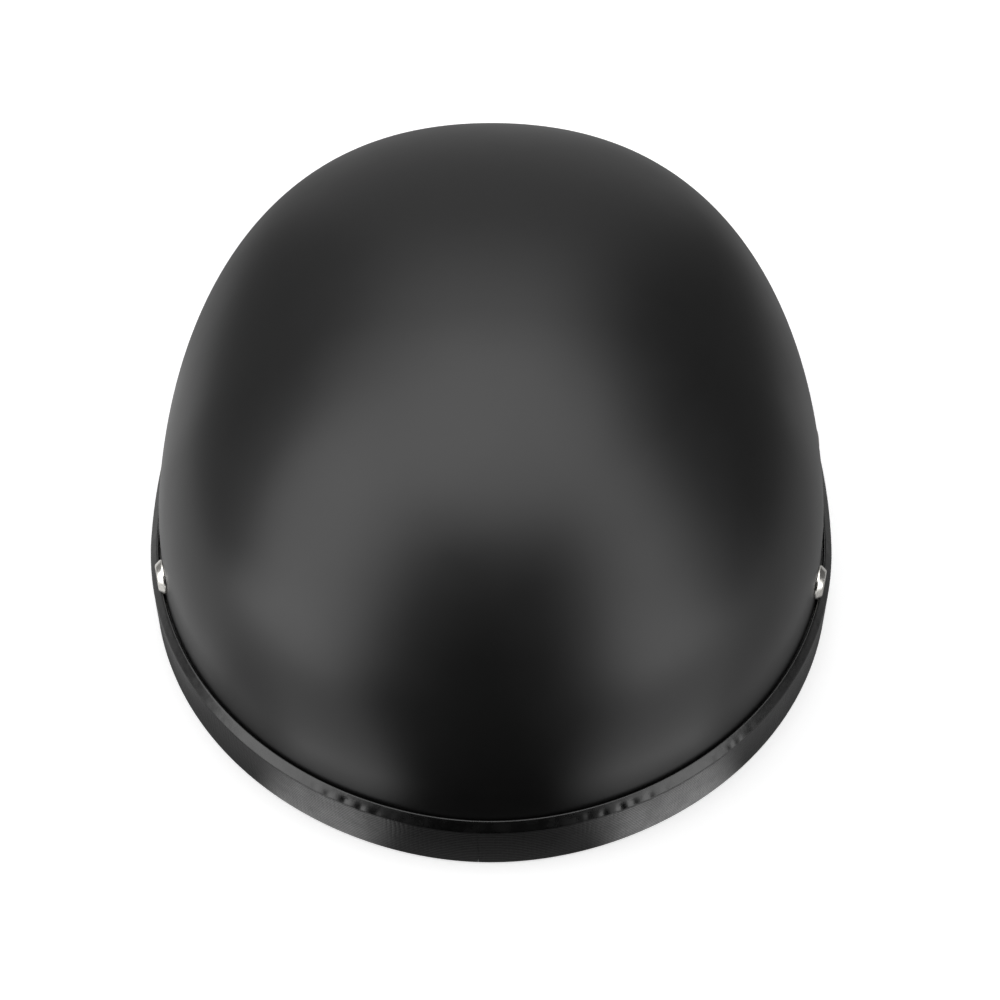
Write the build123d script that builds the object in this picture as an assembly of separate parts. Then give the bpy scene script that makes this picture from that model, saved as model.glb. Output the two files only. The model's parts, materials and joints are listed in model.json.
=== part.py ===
from build123d import *
from math import asin, degrees, radians, tan
import os

# A half shell motorcycle helmet that stands on its rim. Millimetres, Z up, the front faces -Y
# and the wearer's left is +X. The origin is at the middle of the rim's underside.

# Outer form of the shell, measured from its widest line
half_width = 114
front_length = 150
back_length = 118
crown_height = 142
widest_height = 38
rim_zone_height = 22
tuck_corner_height = 29

# The rim is drawn in by this share, and these shares shape the plan and the crown's curve
tuck_share = 0.012
front_plan_shares = (0.481, 0.760)
back_plan_shares = (0.607, 0.480)
crown_rise_share = 0.463
crown_fullness_share = 0.661

# Walls and clearances
shell_wall = 3.5
liner_thickness = 22
pad_thickness = 8
running_gap = 0.1
fold_gap = 0.5
floor_gap = 0.1
overrun = 5

# Edge trim
trim_thickness = 4.5
trim_sole = 2
trim_ridge_height = 19.5
trim_lip_thickness = 0.6
trim_groove_width = 0.7
trim_groove_depth = 1.5
trim_corner = 0.8
trim_inner_thickness = 1.1
trim_inner_height = 8
trim_joint_gap = 0.4
trim_joint_offset = 3

# Liner and pads; each drop is measured down from the crown to a pad's upper or lower end
liner_bottom = 9
liner_corner = 4
pad_bottom = 12
pad_gap = 9
brow_pad_drop = 90
side_pad_drop = 76
nape_pad_drop = 86
crown_pad_drop = 58
brow_half_span = 54
nape_half_span = 48

# Rivets, given from the widest line and from the standing surface
rivet_height = 28.5
rear_rivet_setback = 24
front_rivet_advance = 38
rivet_head_radius = 6
rivet_flat_radius = 4.5
rivet_head_height = 2.7
rivet_edge_height = 0.7
rivet_shank_radius = 2.4
rivet_tail_radius = 4.2
rivet_tail_height = 1.2
washer_radius = 7
washer_thickness = 1

# Webbing and its anchors
web_width = 20
web_thickness = 1.6
anchor_seat_gap = 0.6
anchor_half_height = 8
pocket_half_width = 13.5
pocket_depth = 9.4
pocket_rise = 12
fold_inset = 3.4

# Strap legs and dividers
leg_lead = 15
leg_length = 57
divider_length = 14
divider_wall = 3.4
divider_cover = 1.3
divider_corner = 1.2
strap_clearance = 0.5

# Short chin strap with its two D rings
ring_wire_radius = 1.75
ring_side_gap = 0.6
ring_arm = 6
ring_corner = 3
ring_reach = 34

# Long chin strap with its folded tail and snap
tail_length = 66
snap_gap = 3.4
snap_reach = 31
snap_radius = 6
snap_stud_height = 1
snap_post_radius = 2
snap_post_height = 1.6
snap_cap_height = 1.2
tail_corner = 4

ends = {-1: (front_length, front_plan_shares), 1: (back_length, back_plan_shares)}


def tuck(height):
    """The share of the widest outline that the straight rim zone has at a height."""
    return 1 - tuck_share * (1 - height / tuck_corner_height)


# The trim's ridge is what the helmet measures over, so it sets where the widest line lies
widest_y = (front_length - back_length) * tuck(trim_ridge_height) / 2
rear_rivet_y = widest_y + rear_rivet_setback
front_rivet_y = widest_y - front_rivet_advance


def rim_level(inset, height):
    """One level of the rim zone: its height, its share of the outline and its inset."""
    return height, tuck(height), inset


def crown_level(inset, share, height):
    """One level above the rim zone, where the inset shrinks along with the outline."""
    return height, share, inset * share


def patch(levels, side, end):
    """A quarter of a skin, from the side to the front or back end, through its levels."""
    length, (side_share, end_share) = ends[end]
    plan = [(1, 0), (1, side_share), (end_share, 1), (0, 1)]
    rows = []
    for height, share, inset in levels:
        width, reach = half_width * share - inset, length * share - inset
        rows.append([(side * width * x, widest_y + end * reach * y, height) for x, y in plan])
    return Face.make_bezier_surface(rows)


def skinned(strips):
    """A solid whose skin is made of strips, each a list of levels."""
    faces = [patch(strip, side, end) for strip in strips for side in (1, -1) for end in ends]
    solid = Solid(Shell(faces))
    return solid if solid.volume > 0 else -solid


def dome(inset, bottom):
    """The strips of one dome surface, drawn in from the outer form by the inset."""
    top = crown_height - inset
    rise = widest_height + crown_rise_share * (top - widest_height)
    return [
        [rim_level(inset, bottom), rim_level(inset, rim_zone_height)],
        [
            rim_level(inset, rim_zone_height),
            crown_level(inset, 1, tuck_corner_height),
            crown_level(inset, 1, widest_height),
        ],
        [
            crown_level(inset, 1, widest_height),
            crown_level(inset, 1, rise),
            crown_level(inset, crown_fullness_share, top),
            crown_level(inset, 0, top),
        ],
    ]


def layer(outer_inset, inner_inset, bottom):
    """The closed layer between two dome surfaces, with a flat edge at its bottom."""
    edge = [rim_level(inner_inset, bottom), rim_level(outer_inset, bottom)]
    return skinned(dome(outer_inset, bottom) + dome(inner_inset, bottom) + [edge])


def chain(points):
    """Straight strips from point to point, and a rounded strip where a corner is given."""
    strips = []
    for start, corner, stop in points:
        middle = [rim_level(*corner)] if corner else []
        strips.append([rim_level(*start)] + middle + [rim_level(*stop)])
    return strips


def rivet_planes():
    """The four rivet seats on the shell's outer skin, with Z out along the wall's normal."""
    skin = skinned(dome(0, 0) + [[rim_level(0, 0), (0, 0, 0)]])
    seats = {}
    for end_name, seat_y in (("front", front_rivet_y), ("rear", rear_rivet_y)):
        for side_name, side in (("left", 1), ("right", -1)):
            hits = skin.find_intersection_points(Axis((0, seat_y, rivet_height), (side, 0, 0)))
            point, normal = max(hits, key=lambda hit: side * hit[0].X)
            normal = normal if side * normal.X > 0 else -normal
            level = Vector(0, 0, 1).cross(normal)
            seats[f"{end_name}_{side_name}"] = Plane(point, x_dir=level, z_dir=normal)
    return seats


seats = rivet_planes()
anchor_outer = shell_wall + anchor_seat_gap
anchor_inner = anchor_outer + web_thickness
washer_inner = anchor_inner + washer_thickness
liner_inset = shell_wall + liner_thickness
pad_inset = liner_inset + pad_thickness

# Fold lines, where the webbing leaves the bowl: one a side, level and parallel to Y
fold_z = liner_bottom - web_thickness - running_gap - fold_gap
fold_x = min(abs(seat.origin.X) for seat in seats.values()) - anchor_inner - fold_inset


def outer_shell():
    """The dome, with a hole for each rivet."""
    shell = layer(0, shell_wall, trim_sole)
    hole = Cylinder(rivet_shank_radius + running_gap, 2 * (shell_wall + overrun))
    for seat in seats.values():
        shell -= seat * hole
    return shell


def edge_trim():
    """The channel over the shell's edge: an outer leg with a shoulder, a sole, an inner leg."""
    groove_floor = rim_zone_height - trim_groove_depth
    lip = -trim_groove_width - trim_lip_thickness
    toe = shell_wall + trim_inner_thickness
    strips = chain([
        ((0, trim_sole), None, (0, groove_floor)),
        ((0, groove_floor), None, (-trim_groove_width, groove_floor)),
        ((-trim_groove_width, groove_floor), None, (-trim_groove_width, rim_zone_height)),
        ((-trim_groove_width, rim_zone_height), None, (lip, rim_zone_height)),
        ((lip, rim_zone_height), None, (-trim_thickness, trim_ridge_height)),
        ((-trim_thickness, trim_ridge_height), None, (-trim_thickness, trim_corner)),
        ((-trim_thickness, trim_corner), (-trim_thickness, 0), (trim_corner - trim_thickness, 0)),
        ((trim_corner - trim_thickness, 0), None, (toe - trim_inner_thickness, 0)),
        ((toe - trim_inner_thickness, 0), (toe, 0), (toe, trim_inner_thickness)),
        ((toe, trim_inner_thickness), None, (toe, trim_inner_height)),
        ((toe, trim_inner_height), None, (shell_wall, trim_inner_height)),
        ((shell_wall, trim_inner_height), None, (shell_wall, trim_sole)),
        ((shell_wall, trim_sole), None, (0, trim_sole)),
    ])
    joint_depth = 2 * (trim_thickness + toe) + overrun
    joint = Pos(trim_joint_offset, widest_y + back_length, 0)
    joint *= Box(trim_joint_gap, joint_depth, 2 * (rim_zone_height + overrun))
    return skinned(strips) - joint


def impact_liner():
    """The foam bowl, with a pocket for each anchor, open at the liner's lower edge."""
    inner, outer, corner = liner_inset, shell_wall, liner_bottom + liner_corner
    foot = chain([
        ((inner, corner), (inner, liner_bottom), (inner - liner_corner, liner_bottom)),
        ((inner - liner_corner, liner_bottom), None, (outer, liner_bottom)),
    ])
    liner = skinned(dome(outer, liner_bottom) + dome(inner, corner) + foot)
    drop = rivet_height
    depth = pocket_depth + shell_wall
    pocket = Box(2 * pocket_half_width, pocket_rise + drop, depth)
    pocket = Pos(0, (pocket_rise - drop) / 2, -depth / 2) * pocket
    for seat in seats.values():
        liner -= seat * pocket
    return liner


def band(low, high):
    """A tall block that keeps only what lies between two heights."""
    size = 4 * front_length
    return Pos(0, 0, (low + high) / 2) * Box(size, size, high - low)


def wedge(half_span, end):
    """A block that keeps what lies within an angle either side of the front or back."""
    reach = 2 * front_length
    across = reach * tan(radians(half_span))
    outline = Polyline((0, 0), (across, end * reach), (-across, end * reach), close=True)
    return Pos(0, widest_y, 0) * extrude(make_face(outline), crown_height)


def pads():
    """Five soft pads on the liner's inner face, each a plain closed solid."""
    soft = layer(liner_inset, pad_inset, pad_bottom)
    brow, nape = wedge(brow_half_span, -1), wedge(nape_half_span, 1)
    side_pieces = soft & band(pad_bottom, crown_height - side_pad_drop)
    wide_brow = Pos(0, pad_gap, 0) * brow
    wide_nape = Pos(0, -pad_gap, 0) * nape
    side_pieces = (side_pieces - wide_brow - wide_nape).solids().sort_by(Axis.X)
    return {
        "crown_pad": soft & band(crown_height - crown_pad_drop, crown_height),
        "brow_pad": soft & band(pad_bottom, crown_height - brow_pad_drop) & brow,
        "nape_pad": soft & band(pad_bottom, crown_height - nape_pad_drop) & nape,
        "right_side_pad": side_pieces[0],
        "left_side_pad": side_pieces[-1],
    }


def rivet():
    """Bevelled head, shank and formed tail, on a seat with Z out of the wall."""
    edge = Pos(0, 0, rivet_edge_height / 2) * Cylinder(rivet_head_radius, rivet_edge_height)
    bevel_height = rivet_head_height - rivet_edge_height
    bevel = Cone(rivet_head_radius, rivet_flat_radius, bevel_height)
    bevel = Pos(0, 0, rivet_edge_height + bevel_height / 2) * bevel
    shank_length = washer_inner + rivet_edge_height / 2
    shank = Pos(0, 0, rivet_edge_height / 2 - shank_length / 2)
    shank *= Cylinder(rivet_shank_radius, shank_length)
    tail = Pos(0, 0, -washer_inner - rivet_tail_height / 2)
    tail *= Cylinder(rivet_tail_radius, rivet_tail_height)
    return edge + bevel + shank + tail


def washer():
    """The steel washer between the webbing and the rivet's tail."""
    ring = Cylinder(washer_radius, washer_thickness)
    ring -= Cylinder(rivet_shank_radius + running_gap, washer_thickness + overrun)
    return Pos(0, 0, -anchor_inner - washer_thickness / 2) * ring


def web_section(origin, across, normal):
    """A webbing cross section, wide along one direction and square to the other."""
    return Plane(origin, x_dir=across, z_dir=normal) * Rectangle(web_width, web_thickness)


def anchor_web(seat, side):
    """The fixed end of the webbing: flat under the rivet, then in to the fold line."""
    middle = -anchor_outer - web_thickness / 2
    flat = Pos(0, 0, middle) * Box(web_width, 2 * anchor_half_height, web_thickness)
    flat -= Cylinder(rivet_shank_radius + running_gap, 2 * (anchor_inner + overrun))
    start = (seat * Pos(0, -anchor_half_height, middle)).position
    stop = Vector(side * fold_x, seat.origin.Y, fold_z + web_thickness / 2 + running_gap)
    upper = web_section(start, seat.x_dir, seat.y_dir)
    lower = web_section(stop, (0, side, 0), (0, 0, 1))
    return seat * flat + loft([upper, lower], ruled=True)


def strap_frame(side, drop, reach):
    """A side's strap frame: X runs inwards from the fold line, down by a drop at a reach."""
    turn = 180 if side > 0 else 0
    tilt = degrees(asin(drop / reach))
    return Pos(side * fold_x, 0, fold_z) * Rot(0, 0, turn) * Rot(0, tilt, 0)


divider_x = leg_length + divider_length / 2
divider_middle_y = (front_rivet_y + rear_rivet_y) / 2
slot_half_height = web_thickness + 2 * running_gap
divider_height = 2 * (slot_half_height + divider_cover)


def across_strap(face, width):
    """A face drawn in the strap's length and height, given the webbing's width."""
    return Rot(90, 0, 0) * extrude(face, width / 2, both=True)


def slab(start, stop, middle, thickness):
    """A straight run of webbing, drawn in the strap's length and height."""
    return Pos((start + stop) / 2, middle) * Rectangle(stop - start, thickness)


def leg(start_y, end_y, stack):
    """One leg of webbing, from its rounded fold to the middle of the divider."""
    rise = stack * (web_thickness + running_gap) / 2
    lead_y = start_y + (end_y - start_y) * leg_lead / leg_length
    places = [
        (0, start_y, 0),
        (leg_lead, lead_y, rise),
        (leg_length, end_y, rise),
        (divider_x - running_gap, end_y, rise),
    ]
    sections = [web_section(place, (0, 1, 0), (1, 0, 0)) for place in places]
    round_end = Circle(web_thickness / 2) - slab(0, web_thickness, 0, web_thickness)
    return loft(sections, ruled=True) + Pos(0, start_y, 0) * across_strap(round_end, web_width)


def divider():
    """The plastic divider: a rounded block with one slot right through."""
    block = Box(divider_length, web_width + 2 * divider_wall, divider_height)
    block = fillet(block.edges(), divider_corner)
    slot_width = web_width + 4 * running_gap
    return block - Box(divider_length + overrun, slot_width, 2 * slot_half_height)


eye_x = divider_x + ring_reach
eye_inner = 2 * ring_wire_radius + 2 * running_gap
eye_outer = eye_inner + web_thickness
ring_rise = ring_wire_radius + running_gap / 2
ring_half_width = web_width / 2 + ring_side_gap + ring_wire_radius

# The left and right straps lie side by side, so that the rings clear the other divider
ring_reach_across = ring_half_width + ring_wire_radius
divider_reach_across = web_width / 2 + divider_wall
strap_spread = ring_reach_across + divider_reach_across + strap_clearance


def short_strap():
    """Doubled webbing with an eye at its end, round the bars of the two rings."""
    run = slab(divider_x + running_gap, eye_x, 0, 2 * web_thickness)
    eye = Pos(eye_x, 0) * Circle(eye_outer)
    hole = Pos(eye_x, 0) * Circle(eye_inner)
    return across_strap(run + eye - hole, web_width)


def d_ring():
    """A round wire ring: a straight bar on the Y axis, two arms and a half round bow."""
    bar = Line((0, -ring_half_width), (0, ring_half_width))
    upper = Line((0, ring_half_width), (ring_arm, ring_half_width))
    lower = Line((ring_arm, -ring_half_width), (0, -ring_half_width))
    bow_tip = (ring_arm + ring_half_width, 0)
    bow = ThreePointArc((ring_arm, ring_half_width), bow_tip, (ring_arm, -ring_half_width))
    path = Wire([bar, upper, bow, lower])
    corners = [vertex for vertex in path.vertices() if vertex.X < ring_arm / 2]
    path = path.fillet_2d(ring_corner, corners)
    start = Plane((0, 0, 0), z_dir=(0, 1, 0))
    return sweep(start * Circle(ring_wire_radius), path=path)


tail_rise = web_thickness + snap_gap
snap_x = divider_x + snap_reach

# The long strap's fold ends level with the outer end of the left divider
long_fold_x = 2 * fold_x - leg_length - (tail_rise + web_thickness) / 2


def long_strap():
    """One run of webbing that turns back on itself over a round fold."""
    run = slab(divider_x + running_gap, long_fold_x, 0, web_thickness)
    tail = slab(long_fold_x - tail_length, long_fold_x, tail_rise, web_thickness)
    centre = Pos(long_fold_x, tail_rise / 2)
    fold = centre * (Circle((tail_rise + web_thickness) / 2) - Circle(snap_gap / 2))
    half = slab(long_fold_x, long_fold_x + 2 * tail_rise, tail_rise / 2, 2 * tail_rise)
    strap = across_strap(run + tail + (fold & half), web_width)
    tip = [edge for edge in strap.edges().filter_by(Axis.Z) if edge.center().Z > snap_gap]
    tip = [edge for edge in tip if edge.center().X < long_fold_x - tail_length / 2]
    return fillet(tip, tail_corner)


def snap_parts():
    """The stud on the strap, the socket under the tail and the cap on top of it."""
    foot = web_thickness / 2
    stud = Pos(0, 0, foot + snap_stud_height / 2) * Cylinder(snap_radius, snap_stud_height)
    post_z = foot + snap_stud_height + snap_post_height / 2
    stud += Pos(0, 0, post_z) * Cylinder(snap_post_radius, snap_post_height)
    socket_height = snap_gap - snap_stud_height
    socket_z = foot + snap_stud_height + socket_height / 2
    socket = Pos(0, 0, socket_z) * Cylinder(snap_radius, socket_height)
    bore = Cylinder(snap_post_radius + running_gap, snap_post_height + running_gap)
    socket -= Pos(0, 0, post_z + running_gap / 2) * bore
    cap = Pos(0, 0, tail_rise + foot + snap_cap_height / 2)
    cap *= Cone(snap_radius, snap_radius - snap_cap_height, snap_cap_height)
    return {"snap_stud": stud, "snap_socket": socket, "snap_cap": cap}


def left_frame():
    """The left straps lie with their eye just off the ground."""
    return strap_frame(1, fold_z - eye_outer - floor_gap, eye_x)


def right_frame():
    """The right straps lie with their fold just off the ground."""
    return strap_frame(-1, fold_z - web_thickness / 2 - floor_gap, long_fold_x)


def left_straps():
    """The left side: two legs, a divider and the short strap with its rings."""
    frame = left_frame()
    strap_y = -(divider_middle_y - strap_spread / 2)
    slide = Pos(0, strap_y, 0)
    pieces = {
        "left_front_leg": leg(-front_rivet_y, strap_y, 1),
        "left_rear_leg": leg(-rear_rivet_y, strap_y, -1),
        "left_divider": slide * Pos(divider_x, 0, 0) * divider(),
        "short_chin_strap": slide * short_strap(),
        "upper_d_ring": slide * Pos(eye_x, 0, ring_rise) * d_ring(),
        "lower_d_ring": slide * Pos(eye_x, 0, -ring_rise) * d_ring(),
    }
    return {name: frame * piece for name, piece in pieces.items()}


def right_straps():
    """The right side: two legs, a divider and the long strap with its snapped tail."""
    frame = right_frame()
    strap_y = divider_middle_y + strap_spread / 2
    slide = Pos(0, strap_y, 0)
    pieces = {
        "right_front_leg": leg(front_rivet_y, strap_y, 1),
        "right_rear_leg": leg(rear_rivet_y, strap_y, -1),
        "right_divider": slide * Pos(divider_x, 0, 0) * divider(),
        "long_chin_strap": slide * long_strap(),
    }
    for name, piece in snap_parts().items():
        pieces[name] = slide * Pos(snap_x, 0, 0) * piece
    return {name: frame * piece for name, piece in pieces.items()}


def joint_places():
    """A point on each joint's axis, and the axis, about which a positive turn opens it."""
    left, right = left_frame(), right_frame()
    bar_y = -(divider_middle_y - strap_spread / 2)
    upper, lower = (left * Pos(eye_x, bar_y, rise) for rise in (ring_rise, -ring_rise))
    return {
        "left strap fold": (left.position, (0, -1, 0)),
        "right strap fold": (right.position, (0, 1, 0)),
        "upper ring swing": (upper.position, (0, 1, 0)),
        "lower ring swing": (lower.position, (0, -1, 0)),
    }


def helmet():
    """Every piece of the helmet, under its name."""
    pieces = {"outer_shell": outer_shell(), "edge_trim": edge_trim(), "impact_liner": impact_liner()}
    pieces.update(pads())
    for name, seat in seats.items():
        side = 1 if seat.origin.X > 0 else -1
        pieces[f"{name}_rivet"] = seat * rivet()
        pieces[f"{name}_washer"] = seat * washer()
        pieces[f"{name}_anchor_web"] = anchor_web(seat, side)
    pieces.update(left_straps())
    pieces.update(right_straps())
    return pieces


os.makedirs("parts", exist_ok=True)
for name, piece in helmet().items():
    export_step(piece, f"parts/{name}.step")
for name, (place, axis) in joint_places().items():
    print(name, [round(value, 3) for value in place], [round(value, 6) for value in axis])
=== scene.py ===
"""A half shell motorcycle helmet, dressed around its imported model. Metres, Z up.

The front faces -Y and the wearer's left is +X. The shell, its trim and the places of the rivets
come from one bowl surface, and the straps from the line that each side folds about.
"""

import json
import math

import bmesh
import bpy
import numpy as np
from mathutils import Matrix, Vector
from mathutils.bvhtree import BVHTree


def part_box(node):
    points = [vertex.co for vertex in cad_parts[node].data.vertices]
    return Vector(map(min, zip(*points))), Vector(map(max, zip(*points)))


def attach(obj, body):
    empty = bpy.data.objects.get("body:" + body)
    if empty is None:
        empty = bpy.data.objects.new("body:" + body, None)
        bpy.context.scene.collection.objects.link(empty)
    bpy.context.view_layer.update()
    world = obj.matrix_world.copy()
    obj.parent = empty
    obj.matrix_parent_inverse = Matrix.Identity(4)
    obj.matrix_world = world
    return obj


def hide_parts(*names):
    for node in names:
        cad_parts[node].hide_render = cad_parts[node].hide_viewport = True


bl_info = {
    "name": "Half shell helmet",
    "version": (1, 0, 0),
    "blender": (4, 5, 0),
    "location": "View3D > Sidebar > Helmet",
    "description": "Builds the shell, trim, lining, straps and studio of a half shell helmet",
    "category": "Object",
}

mm = 0.001
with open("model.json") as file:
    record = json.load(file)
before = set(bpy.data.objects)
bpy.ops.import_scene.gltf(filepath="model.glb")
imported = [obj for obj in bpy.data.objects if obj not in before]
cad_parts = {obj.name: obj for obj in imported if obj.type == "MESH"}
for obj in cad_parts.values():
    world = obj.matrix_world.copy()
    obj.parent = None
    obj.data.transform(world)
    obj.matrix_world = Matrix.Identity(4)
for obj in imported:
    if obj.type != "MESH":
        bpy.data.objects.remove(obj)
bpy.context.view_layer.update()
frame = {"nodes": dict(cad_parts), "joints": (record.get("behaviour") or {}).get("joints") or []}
shell_low, shell_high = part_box("outer_shell")
shell_length = shell_high.y - shell_low.y
# The share of the shell's length before its widest line, and the rows of mesh in its dome
front_share = 0.5597
dome_steps = 64


def size(label, text, value):
    """A length that a user can change."""
    return bpy.props.FloatProperty(name=label, description=text, default=value, unit="LENGTH", precision=5)


def share(label, text, value):
    """A share from 0 to 1 that a user can change."""
    return bpy.props.FloatProperty(
        name=label, description=text, default=value, subtype="FACTOR", min=0, max=1
    )


def plain_number(label, text, value):
    """A plain number that a user can change."""
    return bpy.props.FloatProperty(name=label, description=text, default=value)


def plain_angle(label, text, degrees):
    """An angle that a user can change."""
    default = math.radians(degrees)
    return bpy.props.FloatProperty(name=label, description=text, default=default, subtype="ANGLE")


def pair(label, text, value):
    """Two shares that shape one curve."""
    return bpy.props.FloatVectorProperty(name=label, description=text, default=value, size=2)


def colour(label, text, value):
    """A colour that a user can change."""
    return bpy.props.FloatVectorProperty(
        name=label, description=text, default=value, size=3, subtype="COLOR", min=0, max=1
    )


class HelmetForm(bpy.types.PropertyGroup):
    """The outer form of the shell, measured from its widest line, and its layers."""

    half_width: size("Half width", "From the middle to the side", shell_high.x)
    front_length: size("Front length", "From the widest line to the brow", front_share * shell_length)
    back_length: size("Back length", "From the widest line to the nape", (1 - front_share) * shell_length)
    crown_height: size("Crown height", "From the rim to the crown", shell_high.z)
    widest_height: size("Widest height", "Where the dome starts to close", 38 * mm)
    rim_zone: size("Rim zone", "Height of the straight lower wall", 22 * mm)
    tuck_corner: size("Tuck corner", "Where the wall turns in to the rim", 29 * mm)
    tuck: share("Tuck", "How much the rim is drawn in", 0.012)
    flare: size("Flare", "How far the paint springs out again over the trim", 0.8 * mm)
    front_plan: pair("Front plan", "Shares that shape the front's plan", (0.481, 0.760))
    back_plan: pair("Back plan", "Shares that shape the back's plan", (0.607, 0.480))
    crown_rise: share("Crown rise", "How upright the dome starts", 0.463)
    crown_fullness: share("Crown fullness", "How flat the crown is", 0.661)
    shell_wall: size("Shell wall", "Thickness of the shell", 3.5 * mm)


class TrimForm(bpy.types.PropertyGroup):
    """The section of the edge trim, and how its vinyl puckers."""

    thickness: size("Thickness", "How far the ridge stands out of the shell", 4.5 * mm)
    sole: size("Sole", "Thickness under the shell's edge", 2 * mm)
    top_height: size("Top height", "Height of the lip", 22.7 * mm)
    ridge_height: size("Ridge height", "Where the shoulder meets the upright face", 19.5 * mm)
    lip: size("Lip", "Thickness of the top edge", 0.6 * mm)
    groove_width: size("Groove width", "From the shell's straight wall to the lip", 1.35 * mm)
    groove_depth: size("Groove depth", "Depth of the gap there", 2.2 * mm)
    corner: size("Corner", "Rounding under the upright face", 0.8 * mm)
    inner_thickness: size("Inner thickness", "Thickness of the leg inside the shell", 1.1 * mm)
    inner_height: size("Inner height", "Height of the leg inside the shell", 8 * mm)
    joint_offset: size("Joint offset", "From the middle of the back to the butt joint", 3 * mm)
    joint_gap: size("Joint gap", "Gap in the butt joint", 0.08 * mm)
    pucker_spacing: size("Pucker spacing", "From one dimple of the shoulder to the next", 5.3 * mm)
    pucker_depth: size("Pucker depth", "Depth of the deepest dimple", 0.55 * mm)


class RivetForm(bpy.types.PropertyGroup):
    """The rivets that hold the webbing, given from the widest line and from the rim."""

    height: size("Height", "Height of the rivets above the rim", 28.5 * mm)
    rear_setback: size("Rear setback", "How far the rear rivets lie behind the widest line", 24 * mm)
    front_advance: size("Front advance", "How far the front rivets lie before it", 38 * mm)
    head_radius: size("Head radius", "Radius of the head", 6 * mm)
    flat_radius: size("Flat radius", "Radius of the head's flat top", 4.5 * mm)
    head_height: size("Head height", "Height of the head", 2.7 * mm)
    edge_height: size("Edge height", "Height of the head's upright edge", 0.7 * mm)
    shank_radius: size("Shank radius", "Radius of the shank", 2.4 * mm)
    tail_radius: size("Tail radius", "Radius of the formed tail", 4.2 * mm)
    tail_height: size("Tail height", "Height of the formed tail", 1.2 * mm)
    seat_gap: size("Seat gap", "From the shell to the webbing under a rivet", 0.6 * mm)
    washer_thickness: size("Washer thickness", "Thickness of the washer", 1 * mm)


class PadForm(bpy.types.PropertyGroup):
    """The soft pads, which are swollen by a cloth simulation and then sewn."""

    voxel: size("Voxel", "Size of the simulated mesh", 4 * mm)
    ease: size("Ease", "How much the pad starts smaller than its space", 0.9 * mm)
    most_swell: size("Most swell", "How far the cloth may move", 4 * mm)
    seam_width: size("Seam width", "Half width of a sewn channel", 2.6 * mm)
    seam_depth: size("Seam depth", "Depth of a sewn channel", 2.6 * mm)


class StrapForm(bpy.types.PropertyGroup):
    """The webbing and its hardware, given along each side's straps from the fold."""

    width: size("Width", "Width of the webbing", 20 * mm)
    thickness: size("Thickness", "Thickness of the webbing", 1.6 * mm)
    gap: size("Gap", "Running gap between pieces", 0.1 * mm)
    anchor_depth: size("Anchor depth", "From the shell's outer skin to the webbing", 4.9 * mm)
    anchor_half: size("Anchor half", "Half height of the flat end under a rivet", 8 * mm)
    leg_lead: size("Leg lead", "Run of a leg before it slants", 15 * mm)
    leg_length: size("Leg length", "From the fold to the divider", 57 * mm)
    divider_length: size("Divider length", "Length of a divider", 14 * mm)
    eye_reach: size("Eye reach", "From the divider's middle to the rings' bars", 34 * mm)
    ring_wire: size("Ring wire", "Radius of the rings' wire", 1.75 * mm)
    ring_side_gap: size("Ring side gap", "From the webbing to the ring's arm", 0.6 * mm)
    ring_arm: size("Ring arm", "Length of a ring's straight arm", 6 * mm)
    ring_corner: size("Ring corner", "Bend at the ends of a ring's bar", 3 * mm)
    spread: size("Spread", "From the left straps' middle to the right straps' middle", 28 * mm)
    tail_length: size("Tail length", "Length of the folded tail", 66 * mm)
    tail_corner: size("Tail corner", "Rounding of the tail's end", 4 * mm)
    snap_gap: size("Snap gap", "Gap between the strap and its tail", 3.4 * mm)
    snap_reach: size("Snap reach", "From the divider's middle to the snap", 31 * mm)
    snap_radius: size("Snap radius", "Radius of the snap", 6 * mm)
    stud_height: size("Stud height", "Height of the stud's flange", 1 * mm)
    post_radius: size("Post radius", "Radius of the stud's post", 2 * mm)
    post_height: size("Post height", "Height of the stud's post", 1.6 * mm)
    cap_height: size("Cap height", "Height of the snap's cap", 1.2 * mm)
    stitch_length: size("Stitch length", "Length of one stitch", 2.6 * mm)
    stitch_pitch: size("Stitch pitch", "From one stitch to the next", 3.5 * mm)
    thread_radius: size("Thread radius", "Radius of the sewing thread", 0.28 * mm)


class FinishColours(bpy.types.PropertyGroup):
    """The colours of the finishes."""

    shell: colour("Shell", "Satin black paint", (0.0030, 0.0030, 0.0031))
    vinyl: colour("Vinyl", "Face of the trim", (0.0060, 0.0060, 0.0062))
    # The shoulder's colour is the face's vinyl darkened: painted shade
    shaded_shoulder: colour("Shaded vinyl", "Shoulder of the trim", (0.0012, 0.0012, 0.0012))
    foam: colour("Foam", "Impact liner", (0.018, 0.018, 0.019))
    cloth: colour("Cloth", "Pads", (0.014, 0.014, 0.015))
    webbing: colour("Webbing", "Straps", (0.012, 0.012, 0.0125))
    thread: colour("Thread", "Stitching", (0.035, 0.035, 0.036))
    plastic: colour("Plastic", "Strap dividers", (0.010, 0.010, 0.010))
    nickel: colour("Nickel", "Rivets and snap", (0.80, 0.78, 0.74))
    steel: colour("Steel", "Rings and washers", (0.62, 0.62, 0.61))


class StudioForm(bpy.types.PropertyGroup):
    """The camera, the lamps and the cards round the helmet."""

    camera_distance: size("Camera distance", "From the helmet to the camera", 1.5)
    camera_elevation: plain_angle("Camera elevation", "Above the horizon", 52)
    camera_azimuth: plain_angle("Camera azimuth", "From straight behind the helmet", -0.6)
    lens: plain_number("Lens", "Focal length in millimetres", 158.1)
    top_light: plain_number("Top light", "Radiance of the top lamp", 1.2)
    side_light: plain_number("Side light", "Radiance of the side lamps", 1.0)
    world_light: plain_number("World light", "Radiance of the room", 0.5)


def sizes(group):
    """One of the scene's groups of sizes."""
    return getattr(bpy.context.scene, f"helmet_{group}")


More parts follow.
